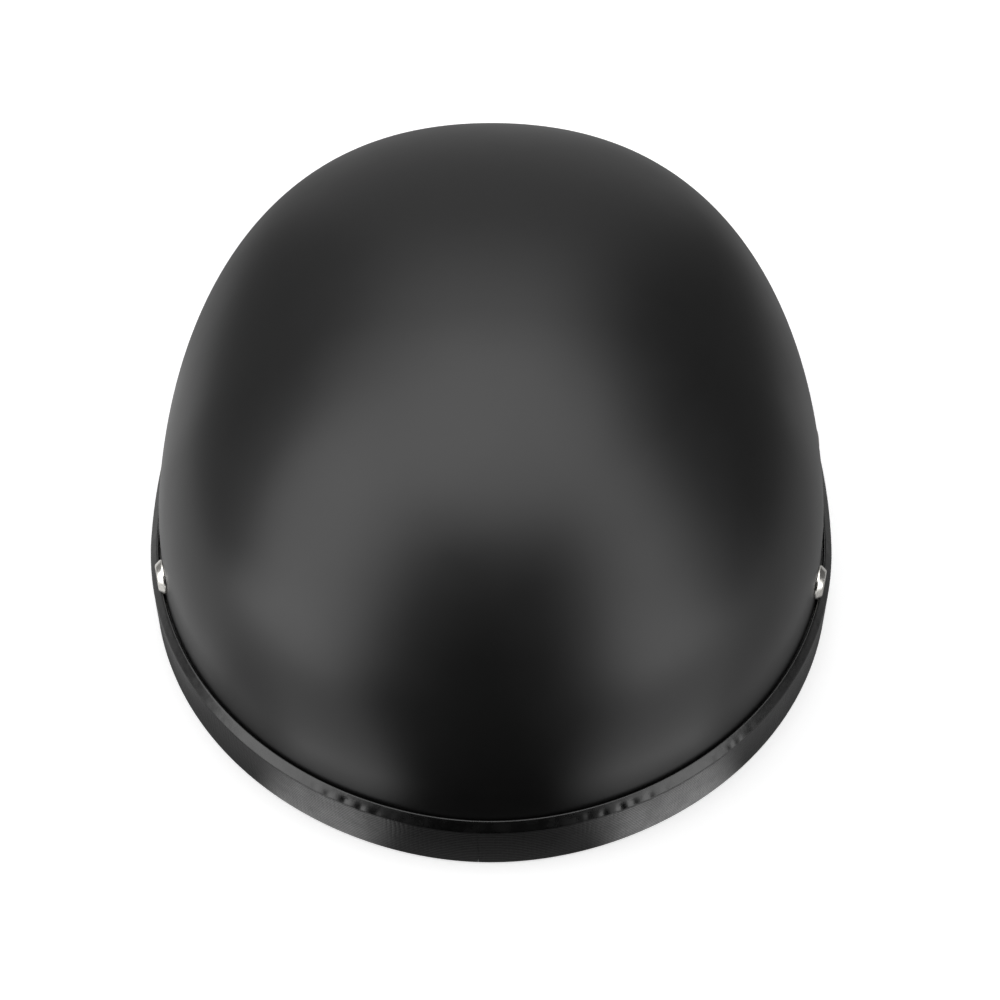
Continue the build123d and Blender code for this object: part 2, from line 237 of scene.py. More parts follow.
def bezier(points, place):
    """Points on a Bezier curve of any order, one row for each place from 0 to 1."""
    place = np.atleast_1d(np.asarray(place, float))[:, None]
    rows = [np.tile(np.atleast_1d(np.asarray(point, float)), (len(place), 1)) for point in points]
    while len(rows) > 1:
        rows = [first + (second - first) * place for first, second in zip(rows, rows[1:])]
    return rows[0]


def curve(points, count):
    """A Bezier curve at evenly spaced places."""
    return bezier(points, np.linspace(0, 1, count))


def length_along(points):
    """How far along its line each point lies."""
    steps = np.linalg.norm(np.diff(points, axis=0), axis=1)
    return np.concatenate([[0], np.cumsum(steps)])


def unit(vectors):
    """Vectors at length one."""
    return vectors / np.maximum(np.linalg.norm(vectors, axis=-1, keepdims=True), 1e-12)


class Bowl:
    """The shell's outer surface, and every surface drawn in or out from it.

    A turn runs from 0 to 4: back, left side, front, right side and back again.
    """

    def __init__(self, form):
        self.form = form
        self.widest_y = shell_low.y + form.front_length
        self.fine_turns = np.linspace(0, 4, 2401)
        ridge_height = sizes("trim").ridge_height
        ring = self.grid([self.rim(ridge_height, 0)], self.fine_turns)[0]
        self.fine_lengths = length_along(ring)
        self.girth = self.fine_lengths[-1]

    def rim(self, height, inset):
        """A level of the straight rim zone: its height, its share and its inset."""
        return height, 1 - self.form.tuck * (1 - height / self.form.tuck_corner), inset

    def dome(self, inset, bottom, steps):
        """The levels of one dome surface, from a height at the rim up to the crown."""
        form = self.form
        top = form.crown_height - inset
        rise = form.widest_height + form.crown_rise * (top - form.widest_height)
        strips = [
            ([self.rim(bottom, inset), self.rim(form.rim_zone, inset)], steps // 8),
            ([self.rim(form.rim_zone, inset), (form.tuck_corner, 1, inset),
              (form.widest_height, 1, inset)], steps // 6),
            ([(form.widest_height, 1, inset), (rise, 1, inset),
              (top, form.crown_fullness, inset * form.crown_fullness), (top, 0, 0)], steps),
        ]
        rows = [bezier(points, np.linspace(0, 1, count + 1)[:-1]) for points, count in strips]
        return np.concatenate(rows + [[(top, 0, 0)]])

    def plan(self, turns):
        """The plan's shares across and along at each turn, and its length at that end."""
        quarter = np.clip(np.floor(turns), 0, 3).astype(int)
        place = turns - quarter
        place = np.where(quarter % 2 == 0, 1 - place, place)
        back = (quarter == 0) | (quarter == 3)
        side_share = np.where(back, self.form.back_plan[0], self.form.front_plan[0])
        end_share = np.where(back, self.form.back_plan[1], self.form.front_plan[1])
        rest = 1 - place
        across = rest**3 + 3 * rest**2 * place + 3 * rest * place**2 * end_share
        along = 3 * rest**2 * place * side_share + 3 * rest * place**2 + place**3
        length = np.where(back, self.form.back_length, self.form.front_length)
        return np.where(quarter < 2, 1, -1) * across, np.where(back, 1, -1) * along, length

    def grid(self, levels, turns, drawn_in=0):
        """Points of the surface through these levels, a row for each level."""
        across, along, length = self.plan(turns)
        height, width_share, inset = np.asarray(levels, float).T[:, :, None]
        inset = inset + drawn_in
        points = np.empty((len(height), len(turns), 3))
        points[:, :, 0] = across * (self.form.half_width * width_share - inset)
        points[:, :, 1] = self.widest_y + along * (length * width_share - inset)
        points[:, :, 2] = height
        return points

    def turns_at(self, lengths):
        """The turns at these lengths round the trim's ridge, from the middle of the back."""
        return np.interp(np.mod(lengths, self.girth), self.fine_lengths, self.fine_turns)

    def seat(self, side, along):
        """A rivet's seat: its matrix has Z out of the wall and X level."""
        form, height = self.form, sizes("rivet").height
        levels = [self.rim(form.rim_zone, 0), (form.tuck_corner, 1, 0), (form.widest_height, 1, 0)]
        place = (height - form.rim_zone) / (form.widest_height - form.rim_zone)
        first, last = (0, 2) if side > 0 else (2, 4)
        turns = np.linspace(first, last, 1601)
        step = 0.01
        rows = [self.grid(bezier(levels, place + shift), turns)[0] for shift in (-step, 0, step)]
        at = int(np.argmin(np.abs(rows[1][:, 1] - (self.widest_y + along))))
        level = unit(rows[1][at + 1] - rows[1][at - 1])
        up = unit(rows[2][at] - rows[0][at])
        out = np.cross(level, up)
        out = out if out[0] * side > 0 else -out
        level = unit(np.cross([0, 0, 1], out))
        up = np.cross(out, level)
        matrix = Matrix.Identity(4)
        for column, axis in enumerate((level, up, out, rows[1][at])):
            matrix.col[column][:3] = axis
        return matrix


def scene_bowl():
    """The bowl of the scene's form."""
    return Bowl(sizes("form"))


def link(name, data):
    """An object for a mesh, a light or a camera, in the scene."""
    piece = bpy.data.objects.new(name, data)
    bpy.context.scene.collection.objects.link(piece)
    return piece


def smooth(mesh, sharp_angle=35):
    """Smooth shading, with edges over an angle kept sharp."""
    mesh.shade_smooth()
    mesh.set_sharp_from_angle(angle=math.radians(sharp_angle))


def grid_piece(name, points, uv=None, close_rows=False, close_columns=False, caps=False, sharp_angle=35):
    """A piece from rows of points, with its two lengths as UV where they are given."""
    rows, columns = points.shape[:2]
    index = np.arange(rows * columns).reshape(rows, columns)
    below = index if close_rows else index[:-1]
    above = np.roll(index, -1, axis=0) if close_rows else index[1:]
    if not close_columns:
        first = [below[:, :-1], below[:, 1:], above[:, 1:], above[:, :-1]]
    else:
        first = [below, np.roll(below, -1, axis=1), np.roll(above, -1, axis=1), above]
    faces = np.stack(first, axis=2).reshape(-1, 4).tolist()
    if caps and close_rows:
        faces += [index[:, 0].tolist(), index[:, -1].tolist()]
    mesh = bpy.data.meshes.new(name)
    mesh.from_pydata(points.reshape(-1, 3).tolist(), [], faces)
    if uv is not None:
        layer = mesh.uv_layers.new(name="lengths")
        corners = np.empty(len(mesh.loops), int)
        mesh.loops.foreach_get("vertex_index", corners)
        layer.data.foreach_set("uv", uv.reshape(-1, 2)[corners].astype(np.float32).ravel())
    tidy = bmesh.new()
    tidy.from_mesh(mesh)
    bmesh.ops.remove_doubles(tidy, verts=tidy.verts, dist=0.002 * mm)
    bmesh.ops.recalc_face_normals(tidy, faces=tidy.faces)
    tidy.to_mesh(mesh)
    tidy.free()
    smooth(mesh, sharp_angle)
    return link(name, mesh)


def turned(name, outline, matrix, sides=64, sharp_angle=35):
    """A piece turned about Z from an outline of radius and height, set in place by a matrix."""
    radius, height = np.asarray(outline, float).T
    angles = np.linspace(0, 2 * math.pi, sides, endpoint=False)
    points = np.empty((len(radius), sides, 3))
    points[:, :, 0] = radius[:, None] * np.cos(angles)
    points[:, :, 1] = radius[:, None] * np.sin(angles)
    points[:, :, 2] = height[:, None]
    piece = grid_piece(name, points, close_columns=True, sharp_angle=sharp_angle)
    piece.data.transform(matrix)
    return piece


def rounded(corners, steps=4, closed=True):
    """An outline through corners, each a place and the reach of its rounding."""
    outline, count = [], len(corners)
    for number, (x, y, reach) in enumerate(corners):
        here = np.array((x, y))
        if reach == 0 or (not closed and number in (0, count - 1)):
            outline.append(here)
            continue
        before = np.array(corners[number - 1][:2])
        after = np.array(corners[(number + 1) % count][:2])
        start, stop = here + unit(before - here) * reach, here + unit(after - here) * reach
        outline.extend(curve([start, here, stop], steps + 1))
    return np.array(outline)


def divided(outline, longest):
    """The same outline, with no run longer than this."""
    fuller = []
    for here, after in zip(outline, np.roll(outline, -1, axis=0)):
        count = max(1, math.ceil(np.linalg.norm(after - here) / longest))
        fuller.extend(here + (after - here) * np.arange(count)[:, None] / count)
    return np.array(fuller)


class Tree:
    """Adds nodes to a new material, or to a world, in few words."""

    def __init__(self, name, world=None):
        self.material = world or bpy.data.materials.new(name)
        self.material.use_nodes = True
        self.tree = self.material.node_tree
        self.shader = self.tree.nodes["Background" if world else "Principled BSDF"]

    def add(self, kind, inputs=(), output=0, **settings):
        """One node, with its inputs set to values or linked to other nodes' outputs."""
        made = self.tree.nodes.new(kind)
        for name, value in settings.items():
            setattr(made, name, value)
        for name, value in dict(inputs).items():
            self.set(made.inputs[name], value)
        return made.outputs[output]

    def set(self, socket, value):
        """A socket's value, or a link to it."""
        if isinstance(value, bpy.types.NodeSocket):
            self.tree.links.new(value, socket)
        else:
            socket.default_value = value

    def paint(self, **inputs):
        """The shader's own inputs, by name with spaces as underscores."""
        for name, value in inputs.items():
            self.set(self.shader.inputs[name.replace("_", " ")], value)

    def show(self, surface):
        """Another shader in place of the material's own."""
        self.tree.nodes.remove(self.shader)
        self.set(self.tree.nodes["Material Output"].inputs["Surface"], surface)

    def math(self, operation, *values):
        """One step of arithmetic."""
        return self.add("ShaderNodeMath", dict(enumerate(values)), operation=operation)

    def place(self, kind="Object"):
        """Where a point lies: in metres for Object, by the piece's own lengths for UV."""
        return self.add("ShaderNodeTexCoord", output=kind)

    def axes(self, kind):
        """The three parts of a place."""
        return list(self.add("ShaderNodeSeparateXYZ", {0: self.place(kind)}).node.outputs)

    def white_when_seen(self):
        """1 where a ray comes straight, by a mirror or through glass, to what shows white."""
        ways = ("Camera", "Glossy", "Transmission")
        seen, mirrored, through = [self.add("ShaderNodeLightPath", output=f"Is {way} Ray") for way in ways]
        return self.math("MAXIMUM", self.math("MAXIMUM", seen, mirrored), through)

    def noise(self, scale, detail=2):
        """Soft noise, of a number of waves in a metre."""
        return self.add("ShaderNodeTexNoise", {"Vector": self.place(), "Scale": scale, "Detail": detail})

    def remap(self, value, low, high, to_low, to_high):
        """A value carried from one range to another, and kept inside it."""
        inputs = {"Value": value, "From Min": low, "From Max": high, "To Min": to_low, "To Max": to_high}
        return self.add("ShaderNodeMapRange", inputs)

    def blend(self, amount, first, second):
        """A colour between two."""
        inputs = {0: amount, 6: (*first, 1), 7: (*second, 1)}
        return self.add("ShaderNodeMix", inputs, output=2, data_type="RGBA")

    def bump(self, height, distance, strength=1):
        """Fine relief of a height in metres."""
        return self.add("ShaderNodeBump", {"Height": height, "Distance": distance, "Strength": strength})

    def ridges(self, value, pitch):
        """Round ridges a pitch apart, from 0 to 1."""
        turn = self.math("MULTIPLY", value, math.pi / pitch)
        return self.math("ABSOLUTE", self.math("SINE", turn))


def shades(base, spread):
    """A darker and a lighter shade of a colour."""
    return [value / spread for value in base], [value * spread for value in base]


def shell_coat(colours):
    """Satin black paint, with a faint orange peel and a slow change of sheen."""
    tree = Tree("shell_coat")
    peel = tree.bump(tree.noise(420, 3), 0.02 * mm, 0.35)
    sheen = tree.remap(tree.noise(22, 3), 0.3, 0.7, 0.36, 0.42)
    tone = tree.blend(tree.noise(60, 4), *shades(colours.shell, 1.12))
    tree.paint(Base_Color=tone, Roughness=sheen, Normal=peel)
    return tree.material


def trim_vinyl(colours):
    """Vinyl with a woven grain on its upright face and a smoother, glossier shoulder."""
    tree = Tree("trim_vinyl")
    along, across, _ = tree.axes("UV")
    stray = tree.noise(170, 2)
    weft = tree.ridges(tree.math("MULTIPLY_ADD", stray, 0.8 * mm, across), 1.05 * mm)
    warp = tree.ridges(tree.math("MULTIPLY_ADD", stray, 0.9 * mm, along), 1.5 * mm)
    warp = tree.math("MULTIPLY", warp, tree.remap(tree.noise(90, 2), 0.4, 0.6, 0, 0.7))
    weave = tree.math("MULTIPLY_ADD", weft, 0.9, warp)
    weave = tree.math("ADD", weave, tree.math("MULTIPLY", tree.noise(520, 3), 1.5))
    grain = tree.bump(weave, 0.1 * mm, 1)
    sheen = tree.remap(tree.noise(140, 3), 0.3, 0.7, 0.34, 0.46)
    tone = tree.blend(tree.noise(500, 3), *shades(colours.vinyl, 1.3))
    tree.paint(Base_Color=tone, Roughness=sheen, Normal=grain, Specular_IOR_Level=0.65)
    return tree.material


def shoulder_vinyl(colours):
    """The vinyl of the shoulder and lip: nearly smooth, and darker than the face's vinyl by painted shade."""
    tree = Tree("shoulder_vinyl")
    creases = tree.bump(tree.noise(260, 3), 0.12 * mm, 0.6)
    sheen = tree.remap(tree.noise(180, 3), 0.3, 0.7, 0.22, 0.32)
    # The darker colour of the shoulder is painted shade
    tone = tree.blend(tree.noise(300, 3), *shades(colours.shaded_shoulder, 1.3))
    tree.paint(Base_Color=tone, Roughness=sheen, Normal=creases, Specular_IOR_Level=0.65)
    return tree.material


def liner_foam(colours):
    """Moulded foam: beads pressed together, with painted shade in the grooves between them."""
    tree = Tree("liner_foam")
    inputs = {"Vector": tree.place(), "Scale": 260}
    bead = tree.add("ShaderNodeTexVoronoi", inputs, feature="DISTANCE_TO_EDGE")
    bead = tree.math("MINIMUM", bead, 0.25)
    relief = tree.bump(bead, 1.2 * mm, 0.7)
    # Darker where the beads meet: painted shade in the grooves of the relief
    tone = tree.blend(tree.remap(bead, 0, 0.12, 0, 1), *shades(colours.foam, 1.5))
    tree.paint(Base_Color=tone, Roughness=0.78, Normal=relief)
    return tree.material


def pad_cloth(colours):
    """Knitted lining cloth: small round loops, alike whichever way the cloth faces, with painted shade
    between the loops.
    """
    tree = Tree("pad_cloth")
    inputs = {"Vector": tree.place(), "Scale": 620, "Randomness": 0.6}
    knit = tree.remap(tree.add("ShaderNodeTexVoronoi", inputs), 0.1, 0.6, 1, 0)
    fuzz = tree.noise(1500, 3)
    height = tree.math("MULTIPLY_ADD", fuzz, 0.5, knit)
    relief = tree.bump(height, 0.25 * mm, 0.8)
    # Darker between the raised loops: painted shade
    tone = tree.blend(knit, *shades(colours.cloth, 1.5))
    tree.paint(Base_Color=tone, Roughness=0.86, Normal=relief, Sheen_Weight=0.25, Sheen_Roughness=0.5)
    return tree.material


def webbing(colours):
    """Woven polyester: chevrons between lengthwise ribs, with a bound edge, and painted shade in the
    chevrons' grooves.
    """
    tree = Tree("webbing")
    along, across, _ = tree.axes("UV")
    fold = tree.math("PINGPONG", across, 2.4 * mm)
    slope = tree.math("ADD", along, fold)
    chevron = tree.ridges(slope, 1.25 * mm)
    ribs = tree.ridges(across, 2.4 * mm)
    height = tree.math("MULTIPLY_ADD", ribs, 0.6, chevron)
    height = tree.math("ADD", height, tree.math("MULTIPLY", tree.noise(2200, 2), 0.35))
    relief = tree.bump(height, 0.22 * mm, 0.9)
    # Darker in the chevrons' grooves: painted shade
    tone = tree.blend(chevron, *shades(colours.webbing, 1.55))
    tree.paint(Base_Color=tone, Roughness=0.62, Normal=relief, Sheen_Weight=0.15, Sheen_Roughness=0.4)
    return tree.material


def stitching(colours):
    """Twisted thread."""
    tree = Tree("stitching")
    relief = tree.bump(tree.noise(2600, 2), 0.15 * mm, 0.7)
    tone = tree.blend(tree.noise(1400, 2), *shades(colours.thread, 1.3))
    tree.paint(Base_Color=tone, Roughness=0.6, Normal=relief)
    return tree.material


def divider_plastic(colours):
    """Moulded plastic with a fine spark texture."""
    tree = Tree("divider_plastic")
    relief = tree.bump(tree.noise(1600, 3), 0.08 * mm, 0.7)
    tone = tree.blend(tree.noise(90, 3), *shades(colours.plastic, 1.2))
    sheen = tree.remap(tree.noise(70, 3), 0.3, 0.7, 0.42, 0.52)
    tree.paint(Base_Color=tone, Roughness=sheen, Normal=relief)
    return tree.material


def metal(name, base, low, high, scale):
    """A bright metal whose polish changes over the surface."""
    tree = Tree(name)
    wear = tree.noise(scale, 4)
    relief = tree.bump(tree.noise(900, 3), 0.02 * mm, 0.6)
    tone = tree.blend(wear, *shades(base, 1.06))
    polish = tree.remap(wear, 0.3, 0.7, low, high)
    tree.paint(Base_Color=tone, Metallic=1.0, Roughness=polish, Normal=relief)
    return tree.material


finishes = {}


def make_finishes():
    """Every material of the helmet, under its name."""
    colours = sizes("colours")
    for maker in (shell_coat, trim_vinyl, shoulder_vinyl, liner_foam, pad_cloth, webbing, stitching,
                  divider_plastic):
        finishes[maker.__name__] = maker(colours)
    finishes["rivet_nickel"] = metal("rivet_nickel", colours.nickel, 0.16, 0.30, 220)
    finishes["snap_metal"] = metal("snap_metal", colours.nickel, 0.20, 0.34, 200)
    finishes["ring_steel"] = metal("ring_steel", colours.steel, 0.18, 0.32, 120)
    finishes["washer_steel"] = metal("washer_steel", colours.steel, 0.30, 0.45, 150)


def dress(piece, finish, body, node=None):
    """A piece's material, the body that it moves with and the node that it stands for."""
    piece.data.materials.clear()
    piece.data.materials.append(finishes[finish])
    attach(piece, body)
    if node:
        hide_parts(*([node] if isinstance(node, str) else node))
    return piece


def dress_node(name, finish):
    """A carried-over node's material."""
    node = frame["nodes"][name]
    for place in node.material_slots:
        place.material = finishes[finish]


def make_shell():
    """The painted dome, closed under its edge."""
    bowl = scene_bowl()
    form, trim = bowl.form, sizes("trim")
    turns = bowl.turns_at(np.linspace(0, bowl.girth, 4 * dome_steps, endpoint=False))
    outer = bowl.dome(0, trim.sole, dome_steps)
    inner = bowl.dome(form.shell_wall, trim.sole, dome_steps // 2)[::-1]
    levels = np.concatenate([inner, outer])
    below = np.clip((form.widest_height - levels[:, :1]) / (form.widest_height - form.rim_zone), 0, 1)
    shell = grid_piece("shell", bowl.grid(levels, turns, -form.flare * below**4), close_columns=True)
    dress(shell, "shell_coat", "helmet", node="outer_shell")


def pucker_pattern(trim, girth, lengths, heights, top):
    """How far the shoulder is drawn in: rows of small dimples where the vinyl was gathered."""
    draw = np.random.RandomState(7)
    depth = np.zeros((len(heights), len(lengths)))
    # Where round the rim the vinyl was gathered, over what spread and how strongly
    gathered = [
        (0.047, 0.011, 1.0), (-0.045, 0.013, 1.0), (-0.087, 0.005, 0.6),
        (0.30, 0.05, 0.35), (-0.28, 0.05, 0.35),
    ]
    low = trim.ridge_height + 0.9 * mm
    for number in range(int(girth / trim.pucker_spacing)):
        centre = (number + draw.uniform(-0.2, 0.2)) * trim.pucker_spacing
        strength = draw.uniform(0.05, 0.16)
        for place, spread, most in gathered:
            away = (centre - place + girth / 2) % girth - girth / 2
            strength += most * math.exp(-((away / spread) ** 2)) * draw.uniform(0.6, 1)
        away = (lengths - centre + girth / 2) % girth - girth / 2
        width = draw.uniform(1.0, 1.5) * mm
        height = low + draw.uniform(-0.25, 0.25) * mm
        across = np.exp(-((away / width) ** 2))
        upward = np.exp(-(((heights - height) / (0.7 * mm)) ** 2))
        depth += strength * trim.pucker_depth * np.outer(upward, across)
    return depth * (heights < top)[:, None]


def make_trim():
    """The vinyl channel over the rim, with its groove, shoulder, grained face and butt joint."""
    bowl, trim = scene_bowl(), sizes("trim")
    wall, top = bowl.form.shell_wall, trim.top_height
    lip, toe = -trim.groove_width - trim.lip, wall + trim.inner_thickness
    groove_floor = top - trim.groove_depth
    corners = [
        (0, trim.sole, 0),
        (0, groove_floor, 0),
        (-trim.groove_width, groove_floor, 0.2 * mm),
        (-trim.groove_width, top, 0.25 * mm),
        (lip, top, 0.3 * mm),
        (-trim.thickness, trim.ridge_height, 0.45 * mm),
        (-trim.thickness, 0, trim.corner),
        (toe, 0, trim.inner_thickness),
        (toe, trim.inner_height, 0.4 * mm),
        (wall, trim.inner_height, 0),
        (wall, trim.sole, 0),
    ]
    outline = divided(rounded(corners), 0.9 * mm)
    start = trim.joint_offset + trim.joint_gap / 2
    lengths = np.linspace(start, start + bowl.girth - trim.joint_gap, round(bowl.girth / (0.75 * mm)))
    turns = bowl.turns_at(lengths)
    levels = np.array([bowl.rim(height, inset) for inset, height in outline])
    outside = outline[:, 0] < lip + 0.2 * mm
    drawn_in = pucker_pattern(trim, bowl.girth, lengths, outline[:, 1], top - 0.3 * mm)
    drawn_in *= outside[:, None]
    points = bowl.grid(levels, turns, drawn_in)
    round_section = length_along(outline)
    uv = np.stack(np.meshgrid(lengths, round_section), axis=2)
    piece = grid_piece("trim", points, uv, close_rows=True, caps=True, sharp_angle=60)
    dress(piece, "trim_vinyl", "helmet", node="edge_trim")
    piece.data.materials.append(finishes["shoulder_vinyl"])
    smooth_from = trim.ridge_height - 0.2 * mm
    for face in piece.data.polygons:
        face.material_index = int(face.center.z > smooth_from)


def rivet_places():
    """The seat of each rivet under its name."""
    bowl, rivet = scene_bowl(), sizes("rivet")
    places = {}
    for end, along in (("front", -rivet.front_advance), ("rear", rivet.rear_setback)):
        for side_name, side in (("left", 1), ("right", -1)):
            places[f"{end}_{side_name}"] = bowl.seat(side, along)
    return places


def make_rivets():
    """Bevelled nickel heads outside, formed tails on steel washers inside."""
    rivet, form = sizes("rivet"), sizes("form")
    inside = -(form.shell_wall + rivet.seat_gap + sizes("straps").thickness + rivet.washer_thickness)
    corners = [
        (0, rivet.head_height, 0),
        (rivet.flat_radius, rivet.head_height, 0.5 * mm),
        (rivet.head_radius, rivet.edge_height, 0.35 * mm),
        (rivet.head_radius, 0, 0.15 * mm),
        (rivet.shank_radius, 0, 0),
        (rivet.shank_radius, inside, 0),
        (rivet.tail_radius, inside, 0.2 * mm),
        (rivet.tail_radius, inside - rivet.tail_height, 0.7 * mm),
        (0, inside - rivet.tail_height, 0),
    ]
    outline = rounded(corners, closed=False)
    for name, seat in rivet_places().items():
        head = turned(f"{name}_rivet_turned", outline, seat, sharp_angle=50)
        dress(head, "rivet_nickel", "helmet", node=f"{name}_rivet")
        dress_node(f"{name}_washer", "washer_steel")


# How many frames the cloth simulation runs for
swell_frames = 20
# The angles of each pad's sewn channels, and the way that each pad faces
channels = {
    "crown_pad": (0, 60, 120),
    "brow_pad": (-36, -12, 12, 36),
    "nape_pad": (-32, -11, 11, 32),
    "left_side_pad": (-16, 10, 34),
    "right_side_pad": (-34, -10, 16),
}
pad_faces = {"brow_pad": -90, "nape_pad": 90, "left_side_pad": 0, "right_side_pad": 180}


def liner_surface():
    """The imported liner, to measure from."""
    mesh = frame["nodes"]["impact_liner"].data
    mesh.calc_loop_triangles()
    corners = [tuple(vertex.co) for vertex in mesh.vertices]
    return BVHTree.FromPolygons(corners, [tuple(face.vertices) for face in mesh.loop_triangles])


def coordinates(mesh):
    """A mesh's points as an array."""
    points = np.empty(len(mesh.vertices) * 3)
    mesh.vertices.foreach_get("co", points)
    return points.reshape(-1, 3)


def set_coordinates(mesh, points):
    """Put a mesh's points where an array says."""
    mesh.vertices.foreach_set("co", np.asarray(points, float).ravel())
    mesh.update()


def baked(piece):
    """The piece with its modifiers made real."""
    graph = bpy.context.evaluated_depsgraph_get()
    mesh = bpy.data.meshes.new_from_object(piece.evaluated_get(graph))
    piece.modifiers.clear()
    piece.data = mesh
    return piece


def pad_blank(name, pad):
    """A pad's starting shape: its space at an even mesh size, softened and a little smaller."""
    piece = link(f"{name}_cover", frame["nodes"][name].data.copy())
    remesh = piece.modifiers.new("even", "REMESH")
    remesh.mode, remesh.voxel_size = "VOXEL", pad.voxel
    baked(piece)
    shape = bmesh.new()
    shape.from_mesh(piece.data)
    for _ in range(3):
        bmesh.ops.smooth_vert(
            shape, verts=shape.verts, factor=0.5, use_axis_x=True, use_axis_y=True, use_axis_z=True
        )
    shape.normal_update()
    for vertex in shape.verts:
        vertex.co -= vertex.normal * pad.ease
    shape.to_mesh(piece.data)
    shape.free()
    return piece


def from_liner(points, liner):
    """How far each point stands off the liner."""
    return np.array([liner.find_nearest(Vector(point))[3] for point in points])


def simulate(pieces, pad, liner):
    """Swell the pads as cloth with air inside, held where they lie against the liner."""
    starts = {}
    for piece in pieces:
        starts[piece.name] = coordinates(piece.data)
        held = piece.vertex_groups.new(name="held")
        near = np.nonzero(from_liner(starts[piece.name], liner) < pad.voxel * 0.8)[0]
        held.add(near.tolist(), 1, "REPLACE")
        cloth = piece.modifiers.new("cloth", "CLOTH")
        cloth.settings.vertex_group_mass = "held"
        cloth.settings.use_pressure = True
        cloth.settings.uniform_pressure_force = 4
        cloth.settings.tension_stiffness = 12
        cloth.settings.compression_stiffness = 12
        cloth.settings.bending_stiffness = 0.3
        cloth.settings.quality = 6
        cloth.settings.effector_weights.gravity = 0
        cloth.collision_settings.use_collision = False
    for number in range(1, swell_frames + 1):
        bpy.context.scene.frame_set(number)
    for piece in pieces:
        baked(piece)
        moved = coordinates(piece.data) - starts[piece.name]
        far = np.linalg.norm(moved, axis=1, keepdims=True)
        kept = np.minimum(1, pad.most_swell / np.maximum(far, 1e-9))
        set_coordinates(piece.data, starts[piece.name] + moved * kept)
    bpy.context.scene.frame_set(1)


def sew(piece, name, pad, liner, middle):
    """Press the sewn channels into a pad, away from the liner only."""
    points = coordinates(piece.data)
    off = from_liner(points, liner)
    proud = np.clip((off - 3 * mm) / (4 * mm), 0, 1)
    towards = np.array([liner.find_nearest(Vector(point))[0] for point in points]) - points
    towards = unit(towards)
    press = np.zeros(len(points))
    for angle in channels[name]:
        if name == "crown_pad":
            heading = math.radians(angle)
            away = (points[:, 0] * math.sin(heading) - (points[:, 1] - middle.y) * math.cos(heading))
        else:
            facing = math.radians(pad_faces[name])
            flat = points[:, :2] - np.array(middle[:2])
            turn = np.arctan2(flat[:, 1], flat[:, 0]) - facing
            turn = (turn + math.pi) % (2 * math.pi) - math.pi
            away = (turn - math.radians(angle)) * np.linalg.norm(flat, axis=1)
        press = np.maximum(press, np.exp(-((away / pad.seam_width) ** 2)))
    set_coordinates(piece.data, points + towards * (press * proud * pad.seam_depth)[:, None])


def make_lining():
    """The foam bowl and its five pads, swollen by a cloth simulation and sewn."""
    dress_node("impact_liner", "liner_foam")
    pad, liner = sizes("pads"), liner_surface()
    middle = Vector((0, scene_bowl().widest_y, 0))
    pieces = [pad_blank(name, pad) for name in channels]
    simulate(pieces, pad, liner)
    for piece, name in zip(pieces, channels):
        finer = piece.modifiers.new("finer", "SUBSURF")
        finer.levels = finer.render_levels = 1
        baked(piece)
        sew(piece, name, pad, liner, middle)
        piece.data.shade_smooth()
        dress(piece, "pad_cloth", "helmet", node=name)


def web_strip(name, path, across, widths, thickness):
    """A strap of webbing along a path, with its length and width in metres as UV."""
    path = np.asarray(path, float)
    tangent = unit(np.gradient(path, axis=0))
    across = np.broadcast_to(np.asarray(across, float), path.shape)
    across = unit(across - tangent * np.sum(across * tangent, axis=1, keepdims=True))
    normal = np.cross(tangent, across)
    half = np.broadcast_to(np.asarray(widths, float) / 2, (len(path),))
    edge = thickness / 2
    flat = np.linspace(-1, 1, 9)
    turn = np.linspace(0, math.pi, 5)[1:-1]
    reach = np.concatenate([flat, np.ones(3), -flat, -np.ones(3)])
    bulge = np.concatenate([0 * flat, np.sin(turn), 0 * flat, -np.sin(turn)])
    rise = np.concatenate([flat * 0 + 1, np.cos(turn), flat * 0 - 1, -np.cos(turn)])
    sideways = np.outer(reach, half - edge) + bulge[:, None] * edge
    points = path[None] + across[None] * sideways[:, :, None] + normal[None] * (rise * edge)[:, None, None]
    lengths = length_along(path)
    uv = np.stack([np.broadcast_to(lengths, sideways.shape), sideways], axis=2)
    return grid_piece(name, points, uv, close_rows=True, caps=True, sharp_angle=70)


def stitches(name, runs, strap):
    """Stitches laid along runs, each a start, a stop and the way up from the webbing."""
    shape = bmesh.new()
    for start, stop, up in runs:
        start, stop, up = Vector(start), Vector(stop), Vector(up)
        heading = (stop - start).normalized()
        side = up.cross(heading)
        turn = Matrix((heading, side, up)).transposed().to_4x4()
        for number in range(int((stop - start).length / strap.stitch_pitch)):
            centre = start + heading * (number + 0.5) * strap.stitch_pitch
            place = Matrix.Translation(centre) @ turn
            thin = strap.thread_radius
            stretch = Matrix.Diagonal((strap.stitch_length / 2, thin, thin, 1))
            bmesh.ops.create_icosphere(shape, subdivisions=2, radius=1, matrix=place @ stretch)
    mesh = bpy.data.meshes.new(name)
    shape.to_mesh(mesh)
    shape.free()
    mesh.shade_smooth()
    return link(name, mesh)


def box_runs(low_x, high_x, half_y, middle_y, z):
    """A stitched box with its two diagonals, on the upper side of a strap or the lower."""
    up = (0, 0, 1 if z > 0 else -1)
    corners = [(low_x, -half_y), (high_x, -half_y), (high_x, half_y), (low_x, half_y)]
    corners = [(x, middle_y + y, z) for x, y in corners]
    sides = list(zip(corners, corners[1:] + corners[:1]))
    return [(a, b, up) for a, b in sides + [(corners[0], corners[2]), (corners[1], corners[3])]]


